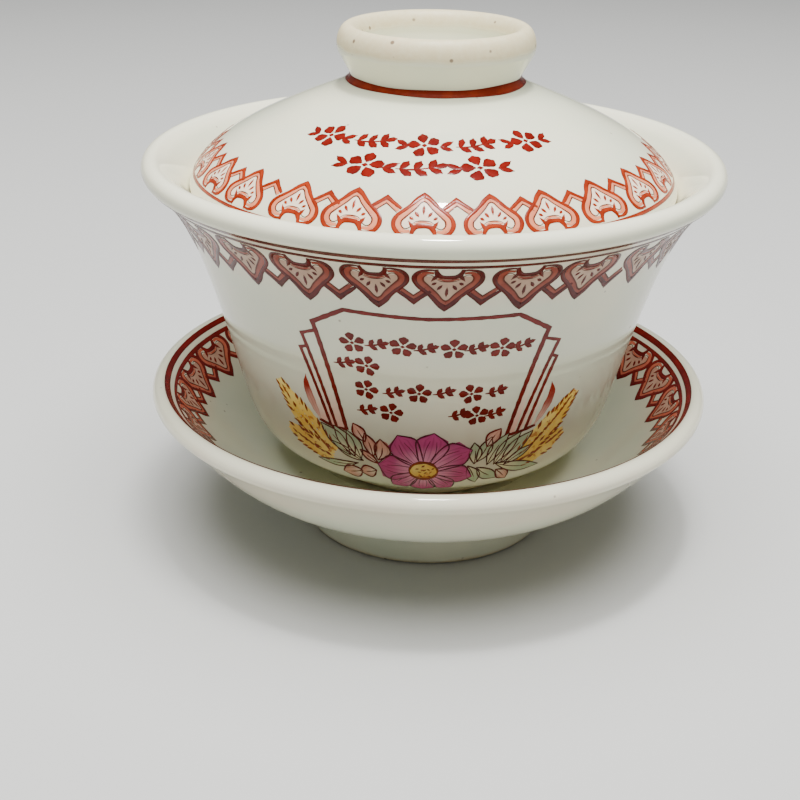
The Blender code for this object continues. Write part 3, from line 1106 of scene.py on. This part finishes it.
def paint_cup():
    """The panel with its pages, the blossom with its leaves, and the ears of wheat."""
    unrolled = Surface(cup_face.line, CUP_SPREAD)
    belly = unrolled.along(height=BELLY_LINE)

    def on_cup(coat, strokes, finish):
        painted("cup_" + coat, strokes, unrolled, finish, "cup", belly, COATS[coat])

    lines = [brush(even(PANEL, 0.9), FRAME_LINE, 0.035, 2, 0.12)]
    lines += [brush(even(page, 0.9), PAGE_LINE, 0.035, 2, 0.12) for page in PAGES]
    on_cup("panel_lines", lines, DARK_RED)

    washes = []
    for hand in (-1.0, 1.0):
        for foot, top, width in PAGE_WASHES:
            line = smooth([(hand * foot[0], foot[1]), (hand * top[0], top[1])], 14)
            washes.append(brush(line, (width, width), 0.0, 3, 0.0))
    on_cup("page_washes", washes, PINK_WASH)

    blades = [brush(smooth(line, 5), (0.3, 1.3, 1.7, 1.3, 0.1), 0.03, 5) for line in BLADES]
    on_cup("blades", blades, BLADE)

    ornaments = []
    for row, (height, places) in enumerate(ORNAMENT_ROWS):
        for index, x in enumerate(places):
            spot = (x + HAND.uniform(-0.2, 0.2), height + HAND.uniform(-0.25, 0.25))
            if (index + row) % 2:
                ornaments += sprig(3.0, (spot[0] - 0.35, spot[1]), rise=0.1, pairs=2)
            else:
                ornaments += blossom(3.8, spot)
    on_cup("ornaments", ornaments, DARK_RED)

    on_cup("leaves", [leaf_fill(*leaf) for leaf in LEAVES], LEAF)
    leaf_edges = [stroke for leaf in LEAVES for stroke in leaf_lines(*leaf)]
    on_cup("leaf_lines", leaf_edges, BROWN)
    open_edges = [stroke for leaf in OPEN_LEAVES for stroke in leaf_lines(*leaf, 0.36)]
    on_cup("rosy_leaves", [leaf_fill(*leaf) for leaf in OPEN_LEAVES], ROSY_LEAF)
    on_cup("open_leaves", open_edges, DARK_RED)

    on_cup("petals", [petal_fill(*petal) for petal in PETALS], MAGENTA)
    petal_edges = [stroke for petal in PETALS for stroke in petal_lines(*petal)]
    on_cup("petal_lines", petal_edges, PLUM)
    heart_x, heart_y = BLOSSOM_HEART
    disc = [math.sqrt(1 - (step / 6 - 1) ** 2 * 0.995) * 4.6 for step in range(13)]
    across = smooth([(heart_x - 2.8, heart_y), (heart_x + 2.8, heart_y)], 24)
    on_cup("blossom_heart", [brush(across, disc, 0.05, 10, 0.0)], YELLOW)
    rim = [(heart_x + 2.7 * math.cos(turn), heart_y + 2.2 * math.sin(turn))
           for turn in [math.tau * step / 28 for step in range(29)]]
    stamens = [brush(rim, (0.45, 0.6, 0.4, 0.62, 0.45), 0.03, 2, 0.2)]
    for index in range(11):
        way = heading(2.4 * index) * 0.5 * math.sqrt(index)
        spot = Vector((heart_x + 1.15 * way.x, heart_y + 0.9 * way.y))
        stamens.append(brush(smooth([spot, spot + heading(HAND.uniform(-0.9, 0.9)) * 0.75], 5),
                             (0.1, 0.42, 0.1), 0.03, 2))
    on_cup("stamens", stamens, RUST)

    grains, dabs = [], []
    for line, width in EARS:
        ear, marks = ear_grains(line, width)
        grains += ear
        dabs += marks
    on_cup("wheat", grains, YELLOW)
    on_cup("wheat_marks", dabs, RUST)


def paint_lid():
    """Plain blossoms and sprigs in two rows on the front of the dome."""
    unrolled = Surface(lid_face.line, LID_SPREAD)
    ornaments = []
    for height, turns in LID_ROWS:
        row = unrolled.along(height=height * MM) / MM
        for index, turn in enumerate(turns):
            x = math.radians(turn) * LID_SPREAD / MM
            spot = (x, row + HAND.uniform(-0.2, 0.2))
            if index % 2:
                ornaments += sprig(7.2, (spot[0] - 0.3, spot[1]), rise=0.05, pairs=3)
            else:
                ornaments += blossom(5.4, spot) + side_leaves(spot, -1.0) + side_leaves(spot, 1.0)
    painted("lid_ornaments", ornaments, unrolled, DARK_RED, "lid")


paint_cup()
paint_lid()

# ---------------- floor, lights and camera


FLOOR_PALE = colour(0.74, 0.74, 0.73)
FLOOR_GREY = colour(0.70, 0.70, 0.69)
LAMPS = [  # name, place, size, power, whether it shows as a reflection
    ("overhead_softbox", (0.02, -0.14, 0.90), 0.95, 21.0, False),
    ("overhead_lamp", (0.03, -0.06, 0.90), 0.12, 6.5, True),
    ("front_fill", (0.10, -1.20, 0.75), 0.90, 0.4, False),
    ("side_fill", (-1.10, -0.20, 0.70), 0.80, 0.5, False),
]
LAMP_TARGET = Vector((0.0, 0.0, 0.05))
ROOM_TINT = (0.93, 0.95, 0.97, 1.0)
ROOM_STRENGTH = 0.16
CAMERA_PLACE = Vector((0.47, -243.4, 135.7)) * MM
CAMERA_TURN = 0.0236
CAMERA_DOWN = 0.4510
CAMERA_ROLL = 0.0165


def studio():
    """A plain pale floor, a broad soft light overhead and gentle fill from the sides."""
    clear_selection()
    bpy.ops.mesh.primitive_plane_add(size=8.0, location=(0, 0, 0))
    floor = bpy.context.object
    floor.name = "studio_floor"
    matte = Finish("pale_floor", 0.75)
    grain = matte.noise(14.0, 6.0)
    matte.set("Base Color", matte.blend(grain * 0.12, FLOOR_PALE, FLOOR_GREY))
    floor.data.materials.append(matte.material)
    for name, place, size, power, reflected in LAMPS:
        data = bpy.data.lights.new(name, "AREA")
        data.shape = "DISK"
        data.size = size
        data.energy = power
        lamp = bpy.data.objects.new(name, data)
        bpy.context.collection.objects.link(lamp)
        lamp.location = place
        aim = LAMP_TARGET - Vector(place)
        lamp.rotation_euler = aim.to_track_quat("-Z", "Y").to_euler()
        lamp.visible_glossy = reflected
    world = bpy.data.worlds.new("soft_room")
    bpy.context.scene.world = world
    world.use_nodes = True
    room = world.node_tree.nodes["Background"]
    room.inputs["Color"].default_value = ROOM_TINT
    room.inputs["Strength"].default_value = ROOM_STRENGTH


def camera():
    """A camera in front of the gaiwan, looking down on it."""
    data = bpy.data.cameras.new("camera")
    data.lens = 61.08
    data.sensor_width = 36.0
    data.clip_start = 0.01
    data.shift_y = 0.03
    eye = bpy.data.objects.new("camera", data)
    bpy.context.collection.objects.link(eye)
    turn = Matrix.Rotation(CAMERA_TURN, 4, "Z")
    pitch = Matrix.Rotation(math.pi / 2 - CAMERA_DOWN, 4, "X")
    roll = Matrix.Rotation(CAMERA_ROLL, 4, "Z")
    eye.matrix_world = Matrix.Translation(CAMERA_PLACE) @ turn @ pitch @ roll
    bpy.context.scene.camera = eye


studio()
camera()
